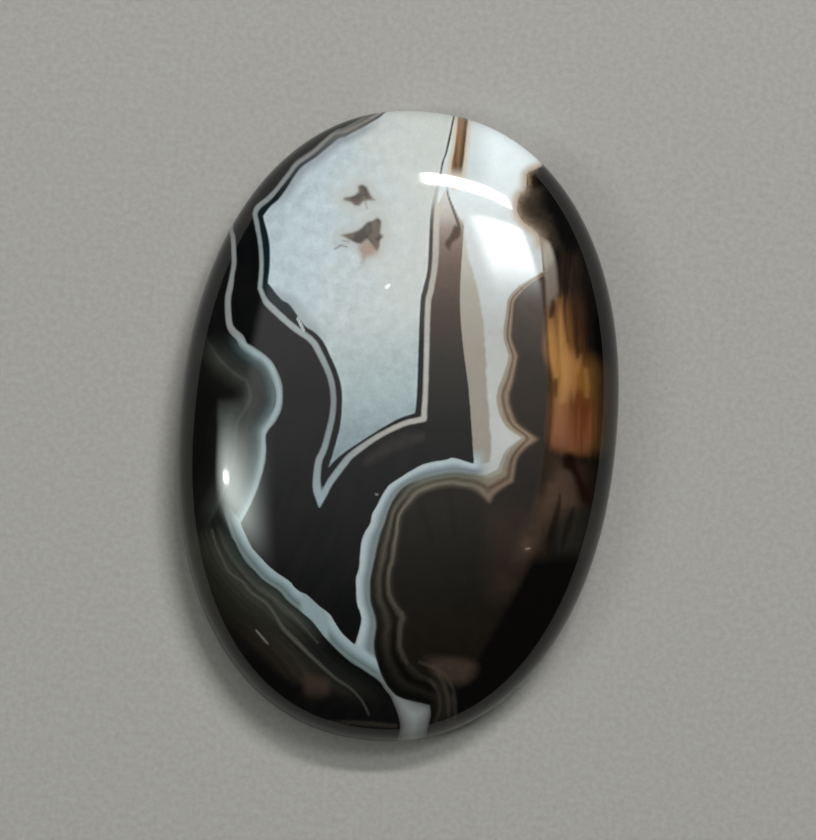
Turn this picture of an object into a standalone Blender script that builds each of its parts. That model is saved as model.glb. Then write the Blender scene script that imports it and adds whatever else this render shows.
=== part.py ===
"""Sulemani agate: one polished oval cabochon, cut from a single piece of banded agate.

The stone lies on its flat back. The origin is at the middle of the back, +Y runs along the
stone's length and +Z points up through the dome. All values are in metres.
"""

import math

import bmesh
import bpy

# Size of the stone
WIDTH = 0.0300
LENGTH = 0.0433
THICKNESS = 0.0075

# The wall rises straight from the back up to the foot of the dome
WALL_HEIGHT = 0.0016
BACK_EDGE_RADIUS = 0.0007

# Fullness of the curves: 2 is a plain ellipse, and more is closer to a box
OUTLINE_FULLNESS = 2.18
DOME_FULLNESS = 2.35

# Fineness of the mesh
SIDES = 96
DOME_RINGS = 22
BACK_EDGE_STEPS = 3
SMOOTH_UNDER = math.radians(40)


def clear_scene():
    for scene_object in list(bpy.data.objects):
        bpy.data.objects.remove(scene_object, do_unlink=True)


def new_collection(name):
    collection = bpy.data.collections.new(name)
    bpy.context.scene.collection.children.link(collection)
    return collection


def polished_agate():
    """Dark grey-brown stone with a glossy polish, the mean of the stone's many bands."""
    material = bpy.data.materials.new("polished_agate")
    material.use_nodes = True
    shader = material.node_tree.nodes["Principled BSDF"]
    shader.inputs["Base Color"].default_value = (0.105, 0.098, 0.090, 1.0)
    shader.inputs["Roughness"].default_value = 0.08
    shader.inputs["Metallic"].default_value = 0.0
    shader.inputs["IOR"].default_value = 1.54
    return material


def signed_power(value, power):
    return math.copysign(abs(value) ** power, value)


def cabochon_point(unit_point):
    """Moves a point of the unit sphere to the stone's dome.

    Round its outline and up its dome, the stone follows superellipses, which are fuller than
    ellipses: the sides are steeper and the middle of the top is flatter.
    """
    ring_radius = math.hypot(unit_point.x, unit_point.y)
    height = max(unit_point.z, 0.0)
    if ring_radius < 1e-6:
        return 0.0, 0.0, THICKNESS
    spread = min(ring_radius, 1.0) ** (2 / DOME_FULLNESS)
    rise = height ** (2 / DOME_FULLNESS)
    across = signed_power(unit_point.x / ring_radius, 2 / OUTLINE_FULLNESS)
    along = signed_power(unit_point.y / ring_radius, 2 / OUTLINE_FULLNESS)
    return (
        WIDTH / 2 * spread * across,
        LENGTH / 2 * spread * along,
        WALL_HEIGHT + (THICKNESS - WALL_HEIGHT) * rise,
    )


def cabochon_mesh():
    """The upper half of a sphere, reshaped to the dome, with its rim run down to a flat back."""
    mesh = bmesh.new()
    bmesh.ops.create_uvsphere(mesh, u_segments=SIDES, v_segments=2 * DOME_RINGS, radius=1.0)
    half_ring = math.sin(math.pi / DOME_RINGS / 4)
    below = [vertex for vertex in mesh.verts if vertex.co.z < -half_ring]
    bmesh.ops.delete(mesh, geom=below, context="VERTS")
    for vertex in mesh.verts:
        vertex.co = cabochon_point(vertex.co)
    rim = [edge for edge in mesh.edges if edge.is_boundary]
    grown = bmesh.ops.extrude_edge_only(mesh, edges=rim)["geom"]
    for vertex in grown:
        if isinstance(vertex, bmesh.types.BMVert):
            vertex.co.z = 0.0
    foot = [edge for edge in mesh.edges if edge.is_boundary]
    bmesh.ops.holes_fill(mesh, edges=foot, sides=SIDES)
    bmesh.ops.recalc_face_normals(mesh, faces=mesh.faces[:])
    data = bpy.data.meshes.new("agate_cabochon")
    mesh.to_mesh(data)
    mesh.free()
    return data


def round_back_edge(stone):
    """Eases the sharp edge where the wall meets the flat back."""
    bevel = stone.modifiers.new("back_edge", "BEVEL")
    bevel.limit_method = "ANGLE"
    bevel.angle_limit = math.radians(60)
    bevel.width = BACK_EDGE_RADIUS
    bevel.segments = BACK_EDGE_STEPS


def build_stone(collection):
    stone = bpy.data.objects.new("agate_cabochon", cabochon_mesh())
    stone.data.materials.append(polished_agate())
    stone.data.shade_smooth()
    stone.data.set_sharp_from_angle(angle=SMOOTH_UNDER)
    round_back_edge(stone)
    collection.objects.link(stone)
    return stone


clear_scene()
build_stone(new_collection("Sulemani agate"))
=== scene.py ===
"""The looks of the sulemani agate: one polished oval cabochon of banded agate.

The stone's surface is a fine mesh over the same curves as the CAD solid, which it replaces. Its
bands, zones and inclusions are colour alone. Each is an outline drawn over the photo. The
distance from every vertex to each outline is stored on the mesh, and the material turns these
distances into bands, soft edges and thin lines. Lengths are in metres, and the pattern's own
lengths, which are seen through the photo, are in millimetres.
"""

import math

import bpy
import numpy as np
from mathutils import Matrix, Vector, noise


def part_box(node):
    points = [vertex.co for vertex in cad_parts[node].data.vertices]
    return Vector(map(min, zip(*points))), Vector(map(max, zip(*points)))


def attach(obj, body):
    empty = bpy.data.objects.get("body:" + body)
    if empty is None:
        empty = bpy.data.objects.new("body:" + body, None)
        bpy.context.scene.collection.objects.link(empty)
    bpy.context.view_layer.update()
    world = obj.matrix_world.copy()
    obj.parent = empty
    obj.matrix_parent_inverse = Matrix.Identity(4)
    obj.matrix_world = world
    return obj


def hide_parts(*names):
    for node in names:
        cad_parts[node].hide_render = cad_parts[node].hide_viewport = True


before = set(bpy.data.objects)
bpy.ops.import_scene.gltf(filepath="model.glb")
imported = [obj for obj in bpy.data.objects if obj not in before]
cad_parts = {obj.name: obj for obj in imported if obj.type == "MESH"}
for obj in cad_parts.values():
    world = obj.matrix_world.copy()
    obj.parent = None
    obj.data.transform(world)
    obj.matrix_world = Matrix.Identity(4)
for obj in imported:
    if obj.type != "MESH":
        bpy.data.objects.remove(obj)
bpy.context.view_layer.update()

STONE_LOW, STONE_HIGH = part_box("agate_cabochon")
MM = 0.001

# The stone's curves, as in the CAD: 2 is a plain ellipse, and more is closer to a box
HALF_WIDTH = (STONE_HIGH[0] - STONE_LOW[0]) / 2
HALF_LENGTH = (STONE_HIGH[1] - STONE_LOW[1]) / 2
THICKNESS = STONE_HIGH[2] - STONE_LOW[2]
WALL_HEIGHT = 0.0016
BACK_EDGE_RADIUS = 0.0007
OUTLINE_FULLNESS = 2.18
DOME_FULLNESS = 2.35

# Fineness of the mesh. The top's grid reaches out to TOP_REACH of the outline, and the back has
# half as many cells each way. A vertex less deep than ON_DOME, in metres, counts as on the dome.
TOP_ACROSS = 220
TOP_ALONG = 316
TOP_REACH = 0.975
RIM_RINGS = 6
WALL_RINGS = 3
EDGE_RINGS = 4
ON_DOME = 1e-5

# The photo, and where the stone lies in it
IMAGE_WIDTH = 816
IMAGE_HEIGHT = 840
STONE_CENTRE_PX = (398.07, 425.97)
STONE_TILT = math.radians(5.65)
PX_PER_MM = 14.58
CAMERA_HEIGHT = 0.280
CAMERA_CLIP_START = 0.01
SENSOR_WIDTH = 36.0

# How the bands lean and wander on their way down through the stone, for each length of depth, over
# what length they wander once, and the seed of the wander, without which each run draws another
BAND_LEAN = (0.22, -0.12)
BAND_WANDER = 0.35
WANDER_SIZE = 0.006
WANDER_SEED = 1796068238

# Surfaces. The polish varies between two values of roughness. The paper's colours are screen
# values, and its grain is in lumps to the metre.
POLISH_ROUGHNESS = (0.04, 0.07)
AGATE_IOR = 1.54
PAPER_COLOURS = ((156, 153, 148), (168, 165, 160))
PAPER_GRAIN = 2600.0
PAPER_ROUGHNESS = 0.9

# Sockets of a Mix node for colours. Their names are also those of its sockets for numbers.
MIX_UNDER, MIX_OVER, MIX_RESULT = 6, 7, 2

# Bands narrower than this, in millimetres, are painted as if they were this wide
NARROWEST_BAND = 0.05

# The studio. Each light lies flat above the stone and is mirrored by the polish. Its middle and its
# size are shares of its height, to the right and up in the photo, and it is turned by degrees. The
# fades are how far its brightness comes in from its left, right, lower and upper edges, as shares
# of its size.
FLOOR_SIZE = 3.0
FLOOR_GAP = 0.00002
ROOM_BRIGHTNESS = 0.03
LIGHTS = {
    "overhead_softbox": {
        "height": 0.66, "middle": (-0.075, 0.11), "size": (1.63, 1.70),
        "brightness": 0.79, "fades": (0.12, 0.03, 0.62, 0.05)},
    "window_softbox": {
        "height": 0.58, "middle": (0.50, 0.40), "size": (0.50, 0.40), "turn": 9,
        "brightness": 12.5, "colour": (0.92, 1.0, 1.0), "fades": (0.22, 0.20, 0.54, 0.12)},
    "strip_light": {
        "height": 0.60, "middle": (0.365, 0.793), "size": (0.60, 0.122),
        "brightness": 63.0, "fades": (0.06, 0.06, 0.08, 0.08)},
    "left_kicker": {
        "height": 0.62, "middle": (-1.04, -0.12), "size": (1.16, 0.48), "turn": -6,
        "brightness": 11.5, "colour": (0.90, 1.0, 0.94), "fades": (0.52, 0.43, 0.49, 0.49)},
    "kicker_lamp": {
        "height": 0.57, "middle": (-1.14, -0.085), "size": (0.22, 0.055),
        "brightness": 40.0, "fades": (0.4, 0.4, 0.3, 0.4)},
}

# Outlines of the zones, in pixels of the photo. Each is a list of smooth runs, which meet at
# corners. Where a zone reaches the stone's edge, its outline goes on outside it.
MILKY_ZONE = [
    [(300, 60), (392, 104)],
    [(392, 104), (380, 117), (347.5, 135.5), (338, 139), (317.7, 156), (300, 168.8), (285, 191),
     (278, 200), (270, 207), (263, 216)],
    [(263, 216), (269, 240), (270, 263), (268, 283)],
    [(268, 283), (281, 299), (290, 305), (304, 325), (313, 331), (322, 340), (330, 355), (341, 385),
     (341, 420), (334, 450), (328, 468)],
    [(328, 468), (345, 452), (392, 422), (415, 413)],
    [(415, 413), (417, 390), (420, 308), (422.8, 290), (427, 272), (428.5, 255), (429.3, 235),
     (431.7, 205), (440, 171.5), (441.3, 164), (446, 149), (457.2, 96)],
    [(458, 60)],
]
WHITE_NET = [
    [(213, 468), (221, 490), (231, 509), (240, 520), (242, 527), (251, 546), (259, 556), (273, 570),
     (289, 581), (294, 587), (300, 592), (307, 595), (319, 606), (330, 615), (341, 632),
     (355, 645)],
    [(355, 645), (361, 623), (360, 612), (357, 603), (356, 579), (359, 568), (361, 544), (365, 532),
     (370, 524), (372, 514), (376, 507), (386, 489), (395, 481), (422, 465), (445, 460), (454, 458),
     (474, 464)],
    [(474, 464), (469, 393), (463, 345), (460, 295), (464, 226)],
    [(464, 226), (450, 199), (446, 189), (439, 203)],
    [(437.3, 203), (443.4, 164), (448.2, 149), (459, 96)],
    [(560, 96)],
    [(547, 164), (540, 168), (532, 171), (527, 175)],
    [(527, 175), (526, 190), (520, 196), (517.5, 204), (518, 213), (524, 222), (535, 230.5),
     (540, 238), (541.5, 250), (543, 272)],
    [(552, 280), (552, 318)],
    [(530, 350)],
    [(530, 437)],
    [(512, 452), (508, 476), (490, 494)],
    [(490, 494), (470, 482), (445, 480), (418, 490), (397, 512), (388, 545), (382, 580), (386, 606),
     (388, 640), (388, 662), (400, 692)],
    [(400, 692), (412, 699), (430, 705)],
    [(430, 705), (431, 714), (425, 745), (424, 790)],
    [(396, 790)],
    [(397, 742), (400, 728), (398, 715), (391, 697)],
    [(391, 697), (384, 688), (379, 681), (362, 669), (352, 663), (338, 651), (324, 636), (311, 620),
     (289, 602), (279, 591), (262, 579), (256, 572), (245, 561), (235, 542), (230, 532), (217, 489),
     (213, 468)],
]
POCKET = [
    [(543, 271), (519, 286), (508, 298), (506, 310), (503, 335), (508, 356)],
    [(508, 356), (506, 366), (498, 388), (496, 399), (498, 411), (502, 421), (508, 429),
     (521, 438)],
    [(521, 438), (508, 448), (503, 455), (498, 469)],
    [(498, 469), (492, 472), (486, 475)],
    [(486, 475), (479, 475), (470, 473.5), (446, 473), (410, 483), (393, 500), (384, 524),
     (379, 538), (371, 576), (370, 590), (371, 603), (376, 622), (374, 646), (377.5, 664),
     (383.5, 679.5), (390, 689.5), (401, 698), (430, 705)],
    [(440, 790)],
    [(700, 790)],
    [(700, 271)],
]
CORE = [
    [(544, 276), (532, 283), (517, 298), (514, 306), (512, 330), (512, 339), (518, 356)],
    [(518, 356), (514, 377), (509, 399), (515, 419), (522, 427), (538, 439)],
    [(538, 439), (524, 449), (518, 455), (515, 463), (512, 481)],
    [(512, 481), (506, 484), (494, 493), (489, 501)],
    [(489, 501), (477, 491), (468, 487), (446, 485), (424, 491), (414, 498), (401, 514), (399, 524),
     (394, 560), (391, 570), (391, 591), (398, 607), (403, 613), (406, 619)],
    [(406, 619), (403, 628), (402, 640), (404, 651), (410, 663), (420, 672), (432, 679), (446, 690),
     (456, 706), (458, 730), (456, 790)],
    [(700, 790)],
    [(700, 276)],
]
BEIGE_COLUMN = [
    [(455, 464)],
    [(490, 464), (491, 450), (489, 410), (487, 390), (485, 345), (480, 300), (470, 262), (466, 240),
     (464, 220)],
    [(440, 220)],
]
BROWN_COLUMN = [
    [(447, 180), (438, 206), (437, 222), (434, 262), (431, 282), (427, 330), (424.5, 419)],
    [(424.5, 480)],
    [(482, 480)],
    [(482, 300), (470, 235), (447, 180)],
]
RUST_STRIPE = [
    [(459, 96), (458, 118), (455, 146), (452, 162), (451, 176), (455, 186)],
    [(455, 186), (461, 178), (463, 166), (468, 120), (472, 96)],
]
AMBER = [
    [(545, 308), (542.5, 348), (549.5, 378), (548.5, 400), (546.5, 420), (545.5, 441), (550, 451)],
    [(550, 451), (562, 455), (575, 457), (589, 455)],
    [(589, 455), (595, 440), (597, 425), (594, 388), (588, 352), (587, 308), (580, 290), (566, 287),
     (553, 298), (545, 308)],
]
AMBER_GLOW = [
    [(552, 350), (570, 348), (590, 350), (604, 358)],
    [(640, 366)],
    [(640, 458)],
    [(606, 460), (575, 458), (556, 452), (549, 440), (550, 400), (552, 350)],
]
PINK_STRIP = [
    [(540, 236), (542, 262), (544, 274), (546, 305), (548, 320)],
    [(548, 320), (555, 318), (561, 314)],
    [(561, 314), (557, 268), (553.5, 252), (549, 242), (540, 236)],
]
DARK_BLOTCH = [
    [(561, 459), (564, 454), (570, 452), (576, 456), (580, 470), (587, 484), (593, 496), (591, 504),
     (582, 502), (577, 490), (571, 474), (563, 468), (561, 459)],
]
RIGHT_GLOW = [
    [(545, 446), (562, 452), (577, 462), (585, 482), (581, 504), (568, 518), (553, 528), (543, 541),
     (533, 556), (520, 564), (508, 562), (513, 544), (523, 524), (532, 508), (537, 488),
     (545, 446)],
]
LOWER_RED_PATCH = [
    [(424, 656), (440, 655), (458, 656), (474, 660), (480, 668), (474, 680), (460, 687), (442, 683),
     (429, 672), (424, 656)],
]
LEFT_DARK = [
    [(250, 650), (270, 668), (290, 681), (303, 686)],
    [(303, 686), (304, 697), (316, 702), (330, 698)],
    [(330, 690)],
    [(345, 700)],
    [(345, 740)],
    [(250, 740)],
]
LEFT_RED_PATCH = [
    [(303, 671), (316, 675), (330, 679)],
    [(330, 679), (330, 692), (326, 697)],
    [(326, 697), (314, 700), (304, 694), (303, 671)],
]
UPPER_INCLUSION = [
    [(344, 198), (351, 197), (357, 194), (359, 190), (358, 187), (361, 185), (366, 187), (371, 196),
     (375, 200)],
    [(369, 200), (363, 201), (360, 205), (355, 205), (351, 202), (344, 200)],
]
LOWER_INCLUSION = [
    [(341, 235), (351, 233), (361, 229), (368, 222), (373, 221), (377, 218)],
    [(377, 218), (381, 222), (380, 233), (383, 236), (380, 240), (379, 246), (377, 251)],
    [(377, 251), (370, 241), (366, 239), (361, 243), (355, 242), (341, 235)],
]
REDDISH_INCLUSION = [
    [(357, 240), (357, 248), (361, 262), (360, 270)],
    [(360, 270), (368, 259), (375, 256), (379, 250), (379, 244), (374, 238), (365, 235),
     (357, 240)],
]
DARK_SPOT = [
    [(453, 228), (455, 225), (459, 227), (461, 233), (459, 238), (454, 241), (451, 246), (450, 251),
     (446, 247), (445, 242), (449, 237), (453, 228)],
]

# Lines, in pixels of the photo: each point gives x, y and the line's width there
PALE_LINE = [
    [(390, 106, 2), (376, 115.5, 2.2), (347, 130.7, 2.6), (333, 134.5, 2.8), (314.3, 151.4, 3.3),
     (297, 163.8, 3.8), (289, 174, 4), (271, 196, 4.4), (258, 207, 4.8), (255, 214, 4.6)],
    [(255, 214, 4.6), (260, 242, 3.8), (261.5, 265, 3.8), (260, 288, 4)],
    [(260, 288, 4), (264, 298, 5), (270, 306, 6), (292, 326, 6), (310, 339, 6), (318, 350, 6),
     (331, 380, 5.5), (333, 410, 5.5), (325, 446, 6), (319, 460, 6.5), (317, 475, 7), (317, 488, 8),
     (319, 498, 6.5), (319.5, 506, 2.5)],
    [(319.5, 506, 2.5), (324, 494, 6), (331, 481, 6.5), (346, 461, 6.5), (354, 453, 6),
     (377, 437, 5), (403, 424, 5), (424, 419, 5.5)],
    [(424, 419, 5.5), (426, 375, 5), (427.8, 308, 5.4), (430.8, 290, 5.6), (434, 272, 5.8),
     (435.6, 255, 6), (436.2, 232, 6), (437.5, 212, 6.3), (443, 178, 5)],
]
LOBE_LINE = [
    [(233, 214, 2.5), (231, 229, 4), (233, 238, 4.5), (234, 262, 4.5), (232, 276, 4.5),
     (230, 288, 5.5), (228, 300, 5.5), (229, 322, 6), (233, 331, 7), (240, 338, 8), (244, 346, 8),
     (253, 352, 9), (268, 364, 9), (277, 382, 8.5), (279, 392, 7), (279, 402, 7), (277, 410, 7.5),
     (272, 419, 8.5), (265, 427, 9), (261, 434, 9)],
    [(261, 434, 9), (261, 458, 9), (255, 482, 9), (250, 495, 9), (245, 507, 8), (237, 521, 8)],
]
LOWER_LEFT_LINE = [
    [(212, 530, 1.2), (216, 545, 1.2), (222, 558, 1.2), (229, 572, 1.6), (243, 582, 1.8),
     (251, 592, 2.2), (266, 603, 2.4), (275, 615, 2.4), (283, 628, 3.4), (296, 641, 4),
     (310, 655, 2.8), (334, 677, 2), (350, 688, 1.6), (362, 701, 1.4), (369, 715, 1.2)],
    [(262, 588, 0.8), (292, 614, 1), (318, 643, 0.8)],
]
BRIGHT_RAYS = [
    [(557, 300, 3), (564, 362, 7), (564.5, 385, 7), (563, 400, 6)],
    [(551, 320, 4), (552, 333, 6), (554, 364, 7), (556, 376, 5)],
    [(585.5, 370, 2.5), (587, 384, 3), (587, 396, 2.5)],
    [(580, 356, 1.6), (577.5, 371, 1.8)],
]
DARK_STREAKS = [
    [(543.8, 274, 1.4), (544.2, 307, 2), (545.6, 325, 2), (548, 358, 2.5), (549, 368, 4),
     (551.8, 394, 2.5), (548, 446, 2)],
    [(553.5, 301, 2.5), (553, 308, 3.5), (550.5, 317, 3)],
    [(574, 306, 2.5), (577, 342, 4), (578, 357, 3)],
    [(556, 380, 3), (555.5, 389, 4), (556, 396, 2)],
    [(564, 306, 1.5), (566, 325, 2), (568, 342, 1.5)],
    [(560, 495, 2.5), (557, 514, 6), (551, 534, 6), (548, 552, 4)],
    [(573, 508, 3), (570, 520, 6), (565, 535, 5), (562, 548, 3)],
]
CORE_STREAKS = [
    [(417, 497, 3), (424, 515, 5), (432, 545, 4)],
    [(447, 487, 3), (452, 508, 5), (454, 535, 4)],
]
WISPS = [
    [(420, 662, 2), (436, 669, 2.5), (447, 677, 2.5), (453, 690, 2.5), (455, 708, 3),
     (454, 728, 3)],
    [(437, 672, 2), (444, 684, 2.5), (448, 700, 3), (449, 724, 3)],
    [(430, 680, 1.5), (438, 692, 2), (440, 706, 2), (436, 722, 2)],
    [(330, 722, 3), (355, 723, 4), (395, 726, 4)],
    [(403, 612, 1.5), (400, 626, 2), (399, 640, 2), (401, 652, 2), (407, 664, 1.5)],
]
HAZE = [
    [(366, 462, 3), (382, 452, 7), (398, 443, 9), (415, 438, 8), (432, 435, 4)],
]
DARK_FLECKS = [
    [(335, 249, 2), (341, 245.5, 2.2), (347, 247, 1.8)],
    [(342, 240.5, 1.6), (350, 242, 1.8)],
    [(365, 201, 2.2), (367.5, 209, 1.4)],
]
CRACK = [
    [(447, 187, 1.4), (449, 198, 2.2), (458, 223, 3.2), (459.5, 230, 3)],
    [(519, 285, 1), (524, 291, 1.6)],
]
# Small pits in the polish, with their glints painted in as pale to near white colour
PIT_GLINTS = [
    [(386.8, 287, 4), (389, 285, 3)],
    [(297.5, 318, 2.2), (301, 325, 2.8), (304, 331, 2.2)],
    [(376, 494, 2.2), (377.5, 494.5, 2.2)],
    [(526, 549, 1.8), (530, 548.5, 1.8)],
    [(256, 630, 1.2), (262, 637, 1.6), (268, 644, 1.2)],
]

# Open edges, in pixels of the photo, for what changes beside them. Seen along each one, its left
# side counts as positive.
LOWER_EDGE = [
    (206, 440), (213, 468), (217, 489), (224, 511), (230, 532), (240, 553), (262, 579), (279, 591),
    (289, 602), (303, 613), (318, 628), (330, 643), (345, 657), (379, 681), (391, 697), (420, 740),
    (440, 800),
]
LOBE_EDGE = [
    (260, 140), (232, 205), (226, 240), (229, 262), (224, 300), (222, 316), (226, 330), (236, 346),
    (248, 357), (260, 365), (267, 376), (271, 390), (271, 403), (265, 417), (257, 430), (256, 450),
    (252, 472), (244, 496), (228, 530), (190, 600),
]

# Distances from a zone or a line beyond REACH are all the same to the material. A smooth curve has
# a point at every CURVE_STEP, and its points are searched a few at once. All are in pixels.
REACH = 60
CURVE_STEP = 2
STEPS_AT_ONCE = 8
SHORTEST_STEP = 1e-6


def smooth_run(points):
    """A smooth curve through the points of one run, a Catmull-Rom spline in short steps."""
    points = np.array(points, float)
    if len(points) < 3:
        return points
    ends = np.vstack([2 * points[0] - points[1], points, 2 * points[-1] - points[-2]])
    curve = []
    for before, start, end, after in zip(ends, ends[1:], ends[2:], ends[3:]):
        count = max(2, int(np.hypot(*(end - start)[:2]) / CURVE_STEP))
        for t in np.arange(count) / count:
            curve.append(0.5 * (2 * start + (end - before) * t
                                + (2 * before - 5 * start + 4 * end - after) * t ** 2
                                + (3 * start - before - 3 * end + after) * t ** 3))
    return np.vstack([curve, points[-1:]])


def nearest_on(curve, points, reach):
    """Gap from each point to a curve less the curve's half width, and which side the point is on.

    Points further from the curve than the reach are left at that gap.
    """
    best = np.full(len(points), float(reach))
    side = np.ones(len(points))
    for first in range(0, len(curve) - 1, STEPS_AT_ONCE):
        piece = curve[first:first + STEPS_AT_ONCE + 1]
        low = piece[:, :2].min(axis=0) - reach
        high = piece[:, :2].max(axis=0) + reach
        near = np.nonzero(((points > low) & (points < high)).all(axis=1))[0]
        for start, end in zip(piece, piece[1:]):
            step = end[:2] - start[:2]
            length = math.hypot(*step)
            if length < SHORTEST_STEP:
                continue
            offset = points[near] - start[:2]
            share = np.clip(offset @ step / length ** 2, 0, 1)
            gap = np.hypot(offset[:, 0] - share * step[0], offset[:, 1] - share * step[1])
            if len(start) == 3:
                gap -= (start[2] + share * (end[2] - start[2])) / 2
            closer = gap < best[near]
            best[near[closer]] = gap[closer]
            side[near[closer]] = np.sign(step[0] * offset[closer, 1] - step[1] * offset[closer, 0])
    return best, side


def zone_depth(runs, points):
    """How deep each point lies in a closed zone, in millimetres. It is negative outside."""
    curve = np.vstack([smooth_run(run) for run in runs])
    curve = np.vstack([curve, curve[:1]])
    gap, _ = nearest_on(curve, points, REACH)
    inside = np.zeros(len(points), bool)
    x, y = points.T
    for (x0, y0), (x1, y1) in zip(curve, curve[1:]):
        if y0 != y1:
            inside ^= ((y0 > y) != (y1 > y)) & (x < x0 + (y - y0) * (x1 - x0) / (y1 - y0))
    return np.where(inside, gap, -gap) / PX_PER_MM


def line_depth(runs, points):
    """How deep each point lies in lines of varying width, in millimetres, negative outside."""
    gaps = [nearest_on(smooth_run(run), points, REACH)[0] for run in runs]
    return -np.min(gaps, axis=0) / PX_PER_MM


def edge_offset(run, points):
    """How far each point is from an open edge, in millimetres, positive on its left side."""
    gap, side = nearest_on(smooth_run(run), points, math.inf)
    return -gap * side / PX_PER_MM


ZONES = {
    "milky": MILKY_ZONE,
    "net": WHITE_NET,
    "pocket": POCKET,
    "core": CORE,
    "beige_column": BEIGE_COLUMN,
    "brown_column": BROWN_COLUMN,
    "rust_stripe": RUST_STRIPE,
    "amber": AMBER,
    "pink_strip": PINK_STRIP,
    "amber_glow": AMBER_GLOW,
    "right_glow": RIGHT_GLOW,
    "dark_blotch": DARK_BLOTCH,
    "lower_red_patch": LOWER_RED_PATCH,
    "left_dark": LEFT_DARK,
    "left_red_patch": LEFT_RED_PATCH,
    "upper_inclusion": UPPER_INCLUSION,
    "lower_inclusion": LOWER_INCLUSION,
    "reddish_inclusion": REDDISH_INCLUSION,
    "dark_spot": DARK_SPOT,
}
LINES = {
    "pale_line": PALE_LINE,
    "lobe_line": LOBE_LINE,
    "lower_left_line": LOWER_LEFT_LINE,
    "bright_rays": BRIGHT_RAYS,
    "dark_streaks": DARK_STREAKS,
    "core_streaks": CORE_STREAKS,
    "wisps": WISPS,
    "haze": HAZE,
    "dark_flecks": DARK_FLECKS,
    "crack": CRACK,
    "pit_glints": PIT_GLINTS,
}
EDGES = {
    "lower_edge": LOWER_EDGE,
    "lobe_edge": LOBE_EDGE,
}


# The stone's surface

def square_points(across, along):
    """Points of a grid over a square from -1 to 1, row by row."""
    s, t = np.meshgrid(np.linspace(-1, 1, across + 1), np.linspace(-1, 1, along + 1))
    return s.ravel(), t.ravel()


def square_rim(across, along):
    """Indices of the grid's outermost points, once round, counterclockwise."""
    row = across + 1
    bottom = list(range(0, across))
    right = [k * row + across for k in range(along)]
    top = [along * row + across - k for k in range(across)]
    left = [(along - k) * row for k in range(along)]
    return bottom + right + top + left


def square_faces(across, along, start):
    """Quads between the points of a grid whose first point has the index start."""
    row = across + 1
    corners = [start + j * row + i for j in range(along) for i in range(across)]
    return [(corner, corner + 1, corner + row + 1, corner + row) for corner in corners]


def full_length(u, v):
    """How far out a point is, from 0 to 1, where the outline is 1 wide and long each way."""
    total = np.abs(u) ** OUTLINE_FULLNESS + np.abs(v) ** OUTLINE_FULLNESS
    return total ** (1 / OUTLINE_FULLNESS)


def oval_directions(s, t):
    """Maps a square to the oval. Gives how far out each point is, and its place on the outline."""
    u = s * np.sqrt(1 - t ** 2 / 2)
    v = t * np.sqrt(1 - s ** 2 / 2)
    reach = full_length(u, v)
    reach = np.where(reach > 0, reach, 1)
    return np.hypot(u, v), HALF_WIDTH * u / reach, HALF_LENGTH * v / reach


def oval_normals(x, y):
    """Outward directions of the outline at the points of it that x and y give."""
    power = OUTLINE_FULLNESS - 1
    nx = np.sign(x) * np.abs(x / HALF_WIDTH) ** power / HALF_WIDTH
    ny = np.sign(y) * np.abs(y / HALF_LENGTH) ** power / HALF_LENGTH
    size = np.hypot(nx, ny)
    size = np.where(size > 0, size, 1)
    return nx / size, ny / size


def dome_height(fraction):
    fall = 1 - np.clip(fraction, 0, 1) ** DOME_FULLNESS
    return WALL_HEIGHT + (THICKNESS - WALL_HEIGHT) * fall ** (1 / DOME_FULLNESS)


def ring_faces(upper, lower):
    """Quads between two rings with as many points, each listed counterclockwise from above."""
    return list(zip(lower, lower[1:] + lower[:1], upper[1:] + upper[:1], upper))


def step_down_faces(fine, coarse):
    """Joins a ring to one with half as many points, with three triangles for each coarse step."""
    faces = []
    count = len(coarse)
    for k in range(count):
        after = (k + 1) % count
        middle = fine[2 * k + 1]
        faces.append((coarse[k], middle, fine[2 * k]))
        faces.append((coarse[k], coarse[after], middle))
        faces.append((coarse[after], fine[(2 * k + 2) % len(fine)], middle))
    return faces


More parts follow.
